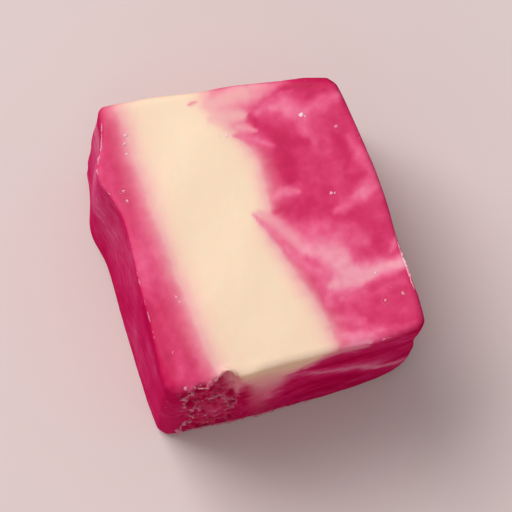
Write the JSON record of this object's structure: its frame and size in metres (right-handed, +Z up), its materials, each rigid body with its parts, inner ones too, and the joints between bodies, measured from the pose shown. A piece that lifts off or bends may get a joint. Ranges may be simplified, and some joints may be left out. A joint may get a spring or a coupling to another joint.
{
  "type": "fudge",
  "caption": "Hand-cut block of soft pink and cream marbled fudge, flat on its underside, with one torn corner strip and a small bite out of its upper edge.",
  "frame": {"origin": "middle of the bounding box's underside, on the flat face that the block rests on", "axes": "+Z up, +Y away from the front, +X to the right seen from the front; the front is the knife-cut side with the torn strip at its left end"},
  "size_m": [0.0336, 0.0344, 0.0274],
  "materials": {
    "fudge": "satin"
  },
  "bodies": {
    "root": {"fudge": "fudge"}
  },
  "joints": []
}
